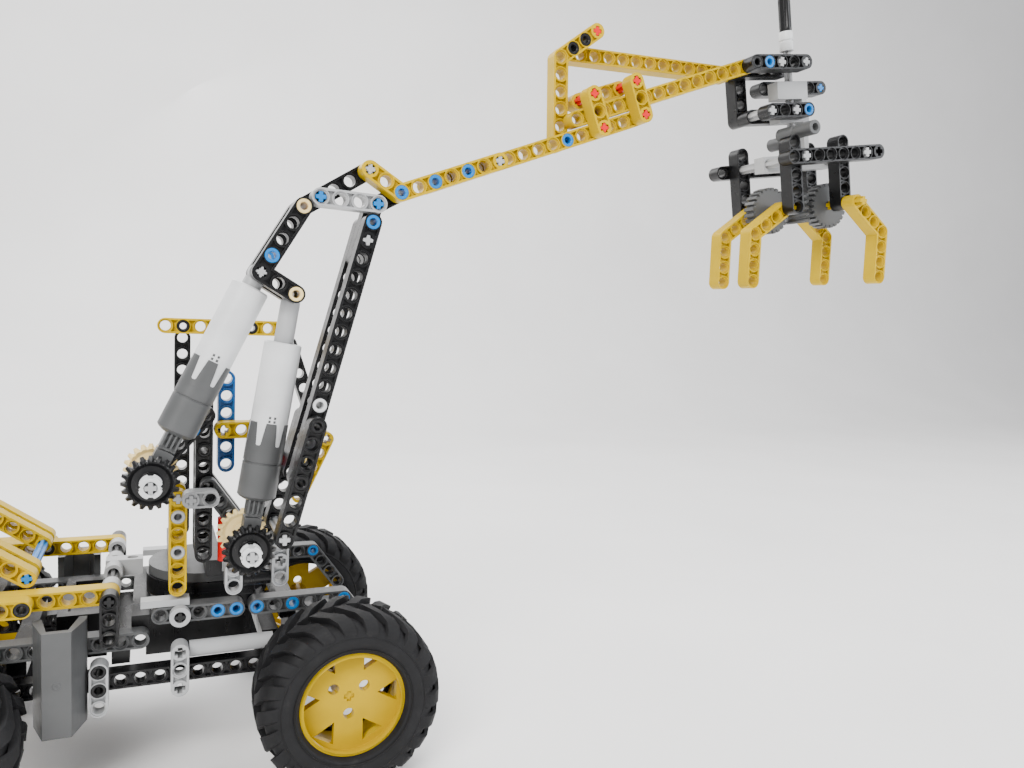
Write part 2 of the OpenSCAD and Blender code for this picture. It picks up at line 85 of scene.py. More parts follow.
# ---- materials ----------------------------------------------------------------------------
class Graph:
    """Short names for building a node material."""

    def __init__(self, name):
        self.material = bpy.data.materials.new(name)
        self.material.use_nodes = True
        self.tree = self.material.node_tree
        self.shader = self.tree.nodes["Principled BSDF"]
        self.place = self.add("ShaderNodeTexCoord").outputs["Object"]

    def add(self, kind, **values):
        node = self.tree.nodes.new(kind)
        for key, value in values.items():
            setattr(node, key, value)
        return node

    def link(self, source, target):
        self.tree.links.new(source, target)

    def noise(self, scale, detail=4.0, rough=0.55, stretch=None):
        node = self.add("ShaderNodeTexNoise")
        node.inputs["Scale"].default_value = scale
        node.inputs["Detail"].default_value = detail
        node.inputs["Roughness"].default_value = rough
        place = self.place
        if stretch:
            mapping = self.add("ShaderNodeMapping")
            mapping.inputs["Scale"].default_value = stretch
            self.link(place, mapping.inputs["Vector"])
            place = mapping.outputs["Vector"]
        self.link(place, node.inputs["Vector"])
        return node.outputs["Fac"]

    def ramp(self, value, stops):
        node = self.add("ShaderNodeValToRGB")
        while len(node.color_ramp.elements) < len(stops):
            node.color_ramp.elements.new(0.5)
        for element, (at, colour) in zip(node.color_ramp.elements, stops):
            element.position = at
            element.color = (*colour, 1) if len(colour) == 3 else colour
        self.link(value, node.inputs["Fac"])
        return node.outputs["Color"]

    def span(self, value, low, high, from_low=0.3, from_high=0.7):
        node = self.add("ShaderNodeMapRange")
        node.inputs["From Min"].default_value = from_low
        node.inputs["From Max"].default_value = from_high
        node.inputs["To Min"].default_value = low
        node.inputs["To Max"].default_value = high
        self.link(value, node.inputs["Value"])
        return node.outputs["Result"]

    def math(self, operation, a, b):
        node = self.add("ShaderNodeMath", operation=operation)
        for socket, value in zip(node.inputs, (a, b)):
            if isinstance(value, (int, float)):
                socket.default_value = value
            else:
                self.link(value, socket)
        return node.outputs[0]

    def mix(self, factor, a, b):
        node = self.add("ShaderNodeMix", data_type="RGBA")
        self.link(factor, node.inputs["Factor"])
        for socket, value in ((node.inputs[6], a), (node.inputs[7], b)):
            if isinstance(value, tuple):
                socket.default_value = (*value, 1)
            else:
                self.link(value, socket)
        return node.outputs[2]

    def set(self, **values):
        for key, value in values.items():
            self.shader.inputs[key.replace("_", " ")].default_value = value

    def bump(self, height, strength, distance, edge=0.0):
        node = self.add("ShaderNodeBump")
        node.inputs["Strength"].default_value = strength
        node.inputs["Distance"].default_value = distance
        self.link(height, node.inputs["Height"])
        if edge:
            bevel = self.add("ShaderNodeBevel", samples=4)
            bevel.inputs["Radius"].default_value = edge
            self.link(bevel.outputs["Normal"], node.inputs["Normal"])
        self.link(node.outputs["Normal"], self.shader.inputs["Normal"])


def shade(colour, factor):
    """The same colour, lighter or darker."""
    return tuple(min(1.0, c * factor) for c in colour)


def plastic(name, colour, rough=0.22, scuff=0.5, specular=0.3, edge=0.00025):
    """Moulded plastic: faint flow marks, soft scratches, dust that dulls it, rounded edges."""
    g = Graph(name)
    flow = g.noise(55, 3, 0.5, stretch=(1.0, 0.6, 1.4))
    speck = g.noise(900, 3, 0.6)
    dust = g.noise(140, 6, 0.7)
    scratch = g.noise(260, 2, 0.4, stretch=(9.0, 1.2, 0.5))
    tone = g.ramp(flow, [(0.3, shade(colour, 0.90)), (0.52, colour), (0.75, shade(colour, 1.07))])
    film = tuple(0.96 * c + 0.006 for c in colour)
    dulled = g.mix(g.span(dust, 0.0, 0.35 * scuff, 0.5, 0.8), tone, film)
    g.link(dulled, g.shader.inputs["Base Color"])
    worn = g.span(dust, rough, rough + 0.16 * scuff)
    gloss = g.math("ADD", worn, g.span(scratch, 0.0, 0.08 * scuff))
    g.link(gloss, g.shader.inputs["Roughness"])
    height = g.math("ADD", g.math("MULTIPLY", speck, 0.35), g.math("MULTIPLY", scratch, 0.65))
    g.bump(height, 0.12 * scuff, 0.0002, edge)
    g.set(Specular_IOR_Level=specular, IOR=1.5)
    return g.material


def rubber(name):
    """Matt black tyre rubber, greyer where it is dusty."""
    g = Graph(name)
    dust = g.noise(90, 6, 0.65)
    grain = g.noise(1500, 4, 0.7)
    fresh, worn, dusty = (0.007, 0.007, 0.0075), (0.012, 0.012, 0.013), (0.035, 0.034, 0.032)
    tone = g.ramp(dust, [(0.35, fresh), (0.6, worn), (0.85, dusty)])
    g.link(tone, g.shader.inputs["Base Color"])
    g.link(g.span(dust, 0.52, 0.78), g.shader.inputs["Roughness"])
    g.bump(grain, 0.25, 0.0003, 0.0003)
    g.set(Specular_IOR_Level=0.18)
    return g.material


def floor_finish():
    """Pale paper with a faint grain."""
    g = Graph("floor_paper")
    tone = g.ramp(g.noise(6, 4, 0.5), [(0.3, (0.84, 0.83, 0.82)), (0.7, (0.88, 0.87, 0.86))])
    g.link(tone, g.shader.inputs["Base Color"])
    g.bump(g.noise(700, 3, 0.6), 0.05, 0.0004)
    g.set(Roughness=0.7, Specular_IOR_Level=0.25)
    return g.material


YELLOW = plastic("yellow_plastic", (0.5, 0.33, 0.0), 0.3, 0.4, specular=0.1)
BLACK = plastic("black_plastic", (0.006, 0.006, 0.0065), 0.22, 0.8)
DARK_GREY = plastic("dark_grey_plastic", (0.075, 0.077, 0.078), 0.3, 0.6)
LIGHT_GREY = plastic("light_grey_plastic", (0.36, 0.365, 0.37), 0.28, 0.5)
PALE_GREY = plastic("pale_grey_plastic", (0.62, 0.63, 0.635), 0.3, 0.4)
BLUE = plastic("blue_plastic", (0.008, 0.085, 0.27), 0.22, 0.5)
PIN_BLUE = plastic("pin_blue_plastic", (0.005, 0.165, 0.48), 0.24, 0.5)
RED = plastic("red_plastic", (0.66, 0.008, 0.008), 0.2, 0.5)
TAN = plastic("tan_plastic", (0.78, 0.60, 0.27), 0.3, 0.5)
TYRE = rubber("tyre_rubber")

FINISH = {
    "dark_grey": DARK_GREY, "black": BLACK, "yellow": YELLOW, "light_grey": LIGHT_GREY,
    "blue_pin": PIN_BLUE, "blue": BLUE, "red": RED, "tan": TAN, "white_grey": PALE_GREY, "tyre": TYRE,
}


def dress_cad():
    """Gives every CAD node the finish of its slot."""
    for part in frame["record"]["subparts"]:
        node = NODES[part["node"]]
        finish = FINISH[part["material_slot"]]
        if not node.material_slots:
            node.data.materials.append(finish)
        for held in node.material_slots:
            held.material = finish


# ---- mesh helpers -------------------------------------------------------------------------
def piece(name, mesh_builder, finish, body, smooth=35):
    """Makes one visible piece from a bmesh builder and rides it on a body."""
    mesh = bpy.data.meshes.new(name)
    bm = bmesh.new()
    mesh_builder(bm)
    bmesh.ops.remove_doubles(bm, verts=bm.verts, dist=1e-6)
    bmesh.ops.recalc_face_normals(bm, faces=bm.faces)
    bm.to_mesh(mesh)
    bm.free()
    for material in finish if isinstance(finish, (list, tuple)) else [finish]:
        mesh.materials.append(material)
    thing = bpy.data.objects.new(name, mesh)
    bpy.context.collection.objects.link(thing)
    mesh.shade_smooth()
    mesh.set_sharp_from_angle(angle=math.radians(smooth))
    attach(thing, body)
    return thing


def body_of_node(name):
    """The body that a CAD node belongs to."""
    bodies = frame["record"]["behaviour"]["bodies"]
    return next(body for body, held in bodies.items() if name in held)


def islands(node):
    """The low and high corners of each separate solid of a CAD node."""
    mesh = NODES[node].data
    parent = list(range(len(mesh.vertices)))

    def root(i):
        while parent[i] != i:
            parent[i] = parent[parent[i]]
            i = parent[i]
        return i

    def order(box):
        low = box[0]
        return round(low.x, 5), round(low.z, 5), round(low.y, 5)

    seen = {}
    for v in mesh.vertices:
        key = tuple(round(c, 6) for c in v.co)
        parent[v.index] = seen.setdefault(key, v.index)
    for e in mesh.edges:
        a, b = root(e.vertices[0]), root(e.vertices[1])
        parent[a] = b
    groups = {}
    for v in mesh.vertices:
        groups.setdefault(root(v.index), []).append(v.co)
    boxes = []
    for points in groups.values():
        low = Vector(min(p[k] for p in points) for k in range(3))
        high = Vector(max(p[k] for p in points) for k in range(3))
        boxes.append((low, high))
    return sorted(boxes, key=order)


def join(bm, here, there, ends=True):
    """Faces between two rows of vertices, round as a closed loop when ends is set."""
    count = len(here)
    for k in range(count if ends else count - 1):
        bm.faces.new((here[k], here[(k + 1) % count], there[(k + 1) % count], there[k]))


# ---- tyres --------------------------------------------------------------------------------
LUGS = 22
SEGMENTS = 132
# Half section of the carcass as (radius, distance from the middle plane) in mm
CARCASS = [
    (23.4, 15.4), (24.6, 17.4), (27.2, 18.3), (30.5, 18.6),
    (33.4, 18.0), (35.6, 16.6), (37.0, 14.2), (37.6, 10.0),
]
# The bead that sits in the rim, in the same units
BEAD = [(23.4, -13), (27.9, -12.4), (27.9, 12.4), (23.4, 13)]
# A tread block as (distance from the middle plane mm, skew rad, top radius mm)
LUG = [
    (0.4, 0.10, 40.6), (6.0, 0.02, 40.6), (11.5, -0.10, 40.4),
    (16.2, -0.16, 39.0), (18.4, -0.19, 36.4), (18.7, -0.21, 33.8),
]


def ring(bm, section, centre, closed=True, segments=SEGMENTS):
    """Turns a section of (radius, y) round an axle along Y through centre."""
    rows = []
    for i in range(segments):
        a = 2 * math.pi * i / segments
        points = [Vector((r * math.cos(a), y, r * math.sin(a))) for r, y in section]
        rows.append([bm.verts.new(centre + point) for point in points])
    for i in range(segments):
        join(bm, rows[i], rows[(i + 1) % segments], closed)


def tread_lug(bm, centre, angle, side):
    """One slanting tread block, from the middle of the tread over the shoulder."""
    half = 0.31 * 2 * math.pi / LUGS
    loops = []
    for y, skew, top in LUG:
        share = half * (1.0 if y > 8 else 0.78)
        base = min(top - 1.6, 37.3) if y < 17 else top - 2.4
        corner = []
        for edge, radius in ((-1, base), (-0.9, top), (0.9, top), (1, base)):
            a = angle + skew + edge * share
            y_in = y - (0.9 if y >= 18 and radius == base else 0)
            point = Vector((radius * math.cos(a), side * y_in, radius * math.sin(a))) * MM
            corner.append(bm.verts.new(centre + point))
        loops.append(corner)
    for here, there in zip(loops, loops[1:]):
        join(bm, here, there)
    bm.faces.new(loops[0])
    bm.faces.new(loops[-1])


def tyre(name):
    """A tyre with slanting tread blocks and two moulded rings on each wall."""
    low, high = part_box(name)
    centre = (Vector(low) + Vector(high)) / 2

    def build(bm):
        outer = [(r * MM, y * MM) for r, y in CARCASS]
        bead = [(r * MM, y * MM) for r, y in BEAD]
        ring(bm, outer + [(r, -y) for r, y in reversed(outer)] + bead, centre)
        step = 2 * math.pi / LUGS
        for i in range(LUGS):
            tread_lug(bm, centre, i * step, 1)
            tread_lug(bm, centre, (i + 0.5) * step, -1)
        for side in (-1, 1):
            for r in (26.0, 31.5):
                wall, crest = side * 18.3 * MM, side * 18.75 * MM
                bead = [((r - 0.35) * MM, wall), (r * MM, crest), ((r + 0.35) * MM, wall)]
                ring(bm, bead, centre)
    made = piece(name + "_tread", build, TYRE, body_of_node(name))
    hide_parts(name)


# ---- pins ---------------------------------------------------------------------------------
def pin_build(bm, low, high):
    """A hollow pin along Y with a lip at each end."""
    inner, shank, lip = 1.62 * MM, 2.4 * MM, 3.0 * MM
    y0, y1 = low.y, high.y
    profile = [
        (inner, y0 + 0.25 * MM), (inner + 0.3 * MM, y0), (lip - 0.25 * MM, y0),
        (lip, y0 + 0.2 * MM), (lip, y0 + 0.65 * MM), (shank, y0 + 0.75 * MM),
        (shank, y1 - 0.75 * MM), (lip, y1 - 0.65 * MM), (lip, y1 - 0.2 * MM),
        (lip - 0.25 * MM, y1), (inner + 0.3 * MM, y1), (inner, y1 - 0.25 * MM),
    ]
    ring(bm, profile, Vector(((low.x + high.x) / 2, 0, (low.z + high.z) / 2)), segments=28)


CROSS_ARM = 0.88
CROSS_REACH = 2.2
PIN_R = 2.4
# Turns that carry local Z to +Y and to -Y
ALONG_Y = Matrix.Rotation(math.radians(-90), 4, "X")
ACROSS_Y = Matrix.Rotation(math.radians(90), 4, "X")


def cross_outline(arm, reach, soft=0.28):
    """Corners of a cross in mm, its outer edges broken by soft, in order round the cross."""
    arms = [(reach, -(arm - soft)), (reach, arm - soft), (reach - soft, arm), (arm, arm)]
    arms.insert(0, (reach - soft, -arm))
    points = []
    for k in range(4):
        c, s = ((1, 0), (0, 1), (-1, 0), (0, -1))[k]
        points += [(c * x - s * y, s * x + c * y) for x, y in arms]
    return points


def prism(bm, place, outline, stations):
    """Joins copies of an outline in mm, scaled and set at each (height, scale) along local Z."""
    loops = []
    for h, k in stations:
        points = [Vector((x * k, y * k, h)) * MM for x, y in outline]
        loops.append([bm.verts.new(place @ point) for point in points])
    for here, there in zip(loops, loops[1:]):
        join(bm, here, there)
    bm.faces.new(loops[0])
    bm.faces.new(loops[-1])


def cross_build(bm, low, high):
    """A cross axle along Y with softly broken edges."""
    length = (high.y - low.y) / MM
    foot = Vector(((low.x + high.x) / 2, low.y, (low.z + high.z) / 2))
    stations = [(0, 0.9), (0.3, 1), (length - 0.3, 1), (length, 0.9)]
    prism(bm, Matrix.Translation(foot) @ ALONG_Y, cross_outline(CROSS_ARM, CROSS_REACH), stations)


PIN_KINDS = {
    "blue": (PIN_BLUE, "blue_pin", pin_build),
    "black": (BLACK, "black", pin_build),
    "white": (PALE_GREY, "white_grey", pin_build),
    "tan": (TAN, "tan", pin_build),
    "grey": (LIGHT_GREY, "light_grey", pin_build),
    "blue_axle": (PIN_BLUE, "blue_pin", cross_build),
    "red_axle": (RED, "red", cross_build),
    "grey_axle": (LIGHT_GREY, "light_grey", cross_build),
    "black_axle": (BLACK, "black", cross_build),
}

# The part's own lengths in mm and angles in degrees
PITCH = 8.0
BOOM_ANGLE = 75.0
JIB_ANGLE = 22.0
HEAD_TILT = 9.0
MAST_ANGLE = JIB_ANGLE + 69.853
KNEE = math.degrees(math.atan2(4, 3))
MAST_KNEE = MAST_ANGLE - KNEE


def heading(angle):
    """Unit step in the arm plane; its points are (x, z) in mm."""
    return Vector((math.cos(math.radians(angle)), math.sin(math.radians(angle))))


def pivot(joint):
    """Where a joint crosses the arm plane."""
    x, _, z = JOINTS[joint]["pos_m"]
    return Vector((x, z)) / MM


FRONT_AXLE = pivot("wheel_roll_fr").x


def floor_at(x, z):
    """A point by its distance from the front axle and its height."""
    return Vector((FRONT_AXLE + x, z))


def boom_at(i):
    return pivot("boom_lift") + i * PITCH * heading(BOOM_ANGLE)


def jib_at(i, j):
    return pivot("jib_tilt") + PITCH * (i * heading(JIB_ANGLE) + j * heading(JIB_ANGLE + 90))


def head_at(x, z):
    return jib_at(25, 1) + (2 * PITCH + x) * heading(HEAD_TILT) + z * heading(HEAD_TILT + 90)


def mast_at(i, j):
    return jib_at(11, 0) + PITCH * (i * heading(MAST_ANGLE) + j * heading(MAST_KNEE))


def pins(node, plan, usual):
    """Replaces a node of pins: plan maps points of the arm plane to kinds, usual is the rest."""
    made = []
    for i, (low, high) in enumerate(islands(node)):
        here = Vector(((low.x + high.x) / 2, (low.z + high.z) / 2)) / MM
        kind = next((k for at, k in plan if (at - here).length < 1.5), usual)
        finish, slot, builder = PIN_KINDS[kind]
        name = "%s_%02d" % (node, i)
        made.append(piece(name, lambda bm: builder(bm, low, high), finish, body_of_node(node)))
    for thing in made:
        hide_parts(node)


def stub(name, at, y0, y1, kind, body):
    """One more pin or axle end that sits in a hole of its body."""
    finish, slot, builder = PIN_KINDS[kind]
    low = Vector((at.x - PIN_R, CENTRE_Y + y0, at.y - PIN_R)) * MM
    high = Vector((at.x + PIN_R, CENTRE_Y + y1, at.y + PIN_R)) * MM
    piece(name, lambda bm: builder(bm, low, high), finish, body)


def add_pins():
    arm_z, rail_z = 87, 76
    pins("chassis_pins", [
        (floor_at(-130, arm_z), "black"), (floor_at(-146, arm_z), "black"),
        (floor_at(-98, arm_z), "black_axle"), (floor_at(-70, rail_z), "black_axle"),
        (floor_at(-130, 95), "blue_axle"), (floor_at(-102, 49), "black"),
        (floor_at(-102, 57), "black"),
    ], "blue")
    pins("boom_pins", [
        (boom_at(5), "white"), (boom_at(7), "white"), (boom_at(17), "blue"),
        (boom_at(16), "grey_axle"),
        (boom_at(18), "blue_axle"), (jib_at(0, 0), "blue"),
    ], "black")
    bell_k = pivot("bellcrank_swing") + PITCH * heading(bell_heading())
    pins("bell_pins", [
        (pivot("bellcrank_swing"), "blue_axle"), (bell_k, "tan"),
        (bell_corner(), "grey_axle"), (bell_eye(), "tan"),
    ], "blue")
    pins("jib_pins", [
        (jib_at(13, 0), "red_axle"), (jib_at(16, 0), "red_axle"),
        (jib_at(13, 2), "red_axle"), (jib_at(16, 2), "red_axle"),
        (mast_at(5, 1), "black"), (jib_at(25, 1), "black"),
    ], "blue")
    pins("tower_axles", [
        (floor_at(-71, 104), "grey"), (floor_at(-71, 120), "grey"), (floor_at(-60, 148), "black"),
    ], "grey_axle")


def jib_tail():
    return pivot("jib_tilt") + 2 * PITCH * heading(JIB_ANGLE + 180 - KNEE)


def bell_heading():
    """Direction of the coupler, from the jib's tail through the rocker's end."""
    run = pivot("bellcrank_swing") - jib_tail()
    return math.degrees(math.atan2(run.y, run.x))


BELL_SKEW = 26.2


def bell_corner():
    """The bell crank's corner, where its short arm begins."""
    start = pivot("bellcrank_swing") + PITCH * heading(bell_heading())
    return start + 4 * PITCH * heading(bell_heading() + BELL_SKEW)


def bell_eye():
    return bell_corner() + 2 * PITCH * heading(bell_heading() + BELL_SKEW + 90)


# The arm's beam layers, each from its near to its far face
NEAR = (-85.9, -78.1)
SECOND = (-69.9, -62.1)
FOURTH = (-61.9, -54.1)


def add_stubs():
    stub("jib_tail_axle", jib_tail(), *NEAR, "grey_axle", "jib")
    stub("jib_joint_axle", jib_at(6, 0), NEAR[0], -70.1, "grey_axle", "jib")
    stub("mast_top_axle", mast_at(5, 3), *SECOND, "red_axle", "jib")
    stub("mast_pin", mast_at(5, 2), *SECOND, "black", "jib")
    stub("head_axle", head_at(16, 0), *NEAR, "grey_axle", "jib")
    stub("head_pin_low", head_at(16, -24), *NEAR, "blue", "jib")
    stub("head_pin_high", head_at(-8, 0), *NEAR, "blue", "jib")
    stub("head_arm_axle", head_at(48, -8), *FOURTH, "blue_axle", "jib")
    stub("tower_red_low", floor_at(-30, 138), -53.9, -46.0, "red_axle", "tower")
    stub("tower_red_high", floor_at(-30, 146), -53.9, -46.0, "red_axle", "tower")
    stub("tower_yellow_axle", floor_at(-71, 128), -45.9, -38.1, "grey_axle", "tower")
    base = floor_at(-82, 143)
    stub("tower_blue_pin", base + 3 * PITCH * heading(48), *FOURTH, "blue", "tower")
    stub("tower_black_pin", base + PITCH * heading(48), *FOURTH, "black", "tower")
    for i in (1, 5):
        stub("cab_pin_%d" % i, floor_at(-76 + i * PITCH, 203), 2.1, 9.9, "black", "tower")
    stub("strut_pin", floor_at(-20, 203) + 7 * PITCH * heading(-71), 2.1, 9.9, "blue", "tower")


# ---- crank and worm -----------------------------------------------------------------------
CLAW_Y = -74
# Profiles as (radius, height above the head's top beams) in mm
SOCKET = [
    (2.5, 8.1), (3.4, 8.1), (3.65, 8.5), (3.65, 12.6), (3.3, 12.9), (3.3, 13.4),
    (3.65, 13.7), (3.65, 17.6), (3.4, 18.0), (2.5, 18.0),
]
GRIP = [
    (2.3, 17.9), (3.0, 18.05), (3.15, 18.6), (3.15, 19.6), (3.15, 20.4), (3.15, 33.6),
    (3.15, 34.4), (3.15, 35.3), (2.8, 35.9), (1.5, 35.9), (1.5, 33.5), (0.0, 33.5),
]
WORM_LEAD = 3.2
WORM_LOW, WORM_HIGH = -81.9, -66.1


def head_frame_at(x, z):
    """A frame in the claw head, its Z along the crank."""
    at = head_at(x, z)
    tilt = Matrix.Rotation(math.radians(-HEAD_TILT), 4, "Y")
    return Matrix.Translation(Vector((at.x, CENTRE_Y + CLAW_Y, at.y)) * MM) @ tilt


def add_crank():
    place = head_frame_at(14, 0)

    def socket(bm):
        lathe(bm, place, SOCKET, segments=40, closed=True)

    def grip(bm):
        def flutes(a):
            in_flute = math.cos(9 * a) > 0.35
            return lambda r, h: -0.28 if in_flute and r > 3.0 and 20 < h < 34 else 0.0
        lathe(bm, place, GRIP, flutes, segments=72)

    def thread(bm):
        def spiral(a):
            def relief(r, h):
                if r < 5.0 or h < WORM_LOW + 0.6 or h > WORM_HIGH - 0.6:
                    return 0.0
                wave = math.cos(a - 2 * math.pi * h / WORM_LEAD)
                return 1.3 * max(0.0, min(1.0, 0.5 + 1.4 * wave))
            return relief
        count = int(round((WORM_HIGH - WORM_LOW) / 0.2)) + 1
        crest = [(5.6, WORM_LOW + 0.2 * k) for k in range(count)]
        lathe(bm, place, [(2.0, WORM_LOW)] + crest + [(2.0, WORM_HIGH)], spiral, segments=48)

    def shaft(bm):
        prism(bm, place, cross_outline(CROSS_ARM, CROSS_REACH), [(-66.2, 1), (7.7, 1), (8.2, 0.95)])

    for thing, node in (
        (piece("crank_socket", socket, PALE_GREY, "crank"), "crank_handle"),
        (piece("crank_grip", grip, BLACK, "crank"), "crank_handle"),
        (piece("worm_thread", thread, DARK_GREY, "crank"), "worm_screw"),
        (piece("worm_shaft", shaft, LIGHT_GREY, "crank"), "worm_screw"),
    ):
        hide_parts(node)


# ---- drive axles --------------------------------------------------------------------------
# The bush as (radius, distance behind the axle's front end) in mm
BUSH = [
    (2.42, 1.2), (4.1, 1.2), (4.35, 1.45), (4.35, 2.6), (3.65, 2.8), (3.65, 6.2),
    (4.35, 6.4), (4.35, 7.7), (4.1, 7.95), (2.42, 7.95),
]


def drive_axle(number):
    """The actuator's drive shaft in grey with its white bush in front of the gear."""
    node = "gear_axle_%d" % number
    low, high = (Vector(c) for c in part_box(node))
    at = pivot("yoke_%d_swing" % number)
    place = Matrix.Translation((at.x * MM, 0, at.y * MM)) @ ALONG_Y
    front = low.y / MM
    reach = Vector((PIN_R * MM, 0, PIN_R * MM))
    middle = Vector((at.x * MM, 0, at.y * MM))

    def notch(a):
        return lambda r, h: -0.7 if r > 4.0 and math.cos(4 * a) > 0.55 else 0.0

    def bush(bm):
        profile = [(r, front + h) for r, h in BUSH]
        lathe(bm, place, profile, notch, segments=64, closed=True)

    def shaft(bm):
        near, far = Vector((0, low.y, 0)), Vector((0, high.y, 0))
        cross_build(bm, middle - reach + near, middle + reach + far)
    for name, build, finish, slot in (
        ("bush", bush, PALE_GREY, "white_grey"), ("shaft", shaft, LIGHT_GREY, "light_grey"),
    ):
        made = piece("drive_%s_%d" % (name, number), build, finish, "drive_%d" % number)
        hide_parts(node)


# ---- small chassis and head details -------------------------------------------------------
def cross_tube(name, at, y0, y1, finish, body, radius=3.6):
    """A tube along Y with a stepped waist and hollow ends, such as an axle joiner."""
    middle = (y0 + y1) / 2
    place = Matrix.Translation(Vector((at.x, CENTRE_Y, at.y)) * MM) @ ALONG_Y
    r, waist, bore = radius, radius - 0.35, 1.9
    profile = [
        (bore, y0 + 3), (bore, y0), (r - 0.3, y0), (r, y0 + 0.3),
        (r, middle - 1.2), (waist, middle - 0.9), (waist, middle + 0.9), (r, middle + 1.2),
        (r, y1 - 0.3), (r - 0.3, y1), (bore, y1), (bore, y1 - 3),
    ]
    piece(name, lambda bm: lathe(bm, place, profile, segments=36), finish, body)


def add_details():
    cross_tube("head_tube_near", head_at(2, -36), -104, -79, DARK_GREY, "jib")
    cross_tube("head_tube_far", head_at(26, -36), -69, -44, DARK_GREY, "jib")
    for side in (-1, 1):
        spot = Vector((FRONT_AXLE - 116.5, CENTRE_Y + side * 64.95, 58)) * MM
        mark = Matrix.Translation(spot) @ Matrix.Rotation(math.radians(-90 * side), 4, "X")
        profile = [(0.6, 0.0), (0.6, 0.18), (1.5, 0.18), (1.7, 0.0)]
        name = "panel_mark_near" if side < 0 else "panel_mark_far"
        piece(name, lambda bm: lathe(bm, mark, profile, segments=28), DARK_GREY, "chassis")


# ---- screw actuators ----------------------------------------------------------------------
# Heights along the actuator from its foot pivot, radii and profiles (radius, height), in mm
FOOT = 13.1
NECK_TOP = 21.0
SEAM = 36.0
BAND_TOP = 43.0
TOOTH_TOP = 53.0
TUBE_TOP = 86.9
TUBE_R = 7.7
BAND_R = 7.95
ROUND = 96
TUBE = [
    (TUBE_R, BAND_TOP - 1), (TUBE_R, TUBE_TOP - 0.6), (TUBE_R - 0.6, TUBE_TOP), (4.8, TUBE_TOP),
    (4.8, TUBE_TOP - 6), (4.25, TUBE_TOP - 6.2), (4.25, BAND_TOP - 1),
]
BAND = [
    (5.2, NECK_TOP - 1), (7.2, NECK_TOP), (BAND_R, NECK_TOP + 0.8),
    (BAND_R, SEAM - 0.45), (BAND_R - 0.4, SEAM - 0.25), (BAND_R - 0.4, SEAM + 0.25),
    (BAND_R, SEAM + 0.45), (BAND_R, BAND_TOP - 0.2), (7.5, BAND_TOP), (4.3, BAND_TOP),
]


def actuator_frame(number):
    """Foot pivot and a turn that carries +Z along the actuator, +X to its upper right side."""
    at = Vector(JOINTS["yoke_%d_swing" % number]["pos_m"])
    along = Vector(JOINTS["rod_%d_feed" % number]["axis"]).normalized()
    across = Vector((0, 1, 0))
    side = across.cross(along)
    return Matrix.Translation(at) @ Matrix((side, across, along)).transposed().to_4x4()


def turn(r, a, h):
    """A point at radius r, angle a and height h, given in mm."""
    return Vector((r * math.cos(a), r * math.sin(a), h)) * MM


def lathe(bm, place, profile, radius_at=None, segments=ROUND, closed=False):
    """Turns a profile of (radius mm, height mm) about local Z; radius_at adds relief by angle."""
    rows = []
    for i in range(segments):
        a = 2 * math.pi * i / segments
        extra = radius_at(a) if radius_at else (lambda r, h: 0.0)
        rows.append([bm.verts.new(place @ turn(r + extra(r, h), a, h)) for r, h in profile])
    count = len(profile)
    for i in range(segments):
        here, there = rows[i], rows[(i + 1) % segments]
        for k in range(count if closed else count - 1):
            bm.faces.new((here[k], there[k], there[(k + 1) % count], here[(k + 1) % count]))
    if not closed:
        for k in (0, -1):
            if profile[k][0] > 0:
                bm.faces.new([row[k] for row in rows])


def ridge_relief(a):
    """Two long flutes down each flank of the tube."""
    degrees = math.degrees(a) % 180

    def extra(r, h):
        if r < 6.5 or h < BAND_TOP + 1 or h > TUBE_TOP - 1:
            return 0.0
        return -0.45 if any(abs(degrees - flute) < 3.0 for flute in (28, 42, 138, 152)) else 0.0
    return extra


def tooth_height(a):
    """Upper edge of the dark collar: broad pointed teeth with gaps between them."""
    share = (math.degrees(a) / 60.0) % 1.0
    if share < 0.12 or share > 0.88:
        return BAND_TOP + 0.6
    if share < 0.24 or share > 0.76:
        slope = min(share - 0.12, 0.88 - share) / 0.12
        return BAND_TOP + 0.6 + slope * (TOOTH_TOP - BAND_TOP - 0.6)
    return TOOTH_TOP


def block(bm, place, low, high):
    """A box between two corners in mm, in the local frame of place."""
    made = bmesh.ops.create_cube(bm, size=1.0)["verts"]
    for v in made:
        corner = [low[k] + (v.co[k] + 0.5) * (high[k] - low[k]) for k in range(3)]
        v.co = place @ (Vector(corner) * MM)


def bore_ring(bm, place, radius, inner, low, high, segments=32):
    """A ring whose axis is local Y, between y = low and high."""
    profile = [(inner, low), (radius, low), (radius, high), (inner, high)]
    lathe(bm, place @ ALONG_Y, profile, segments=segments, closed=True)


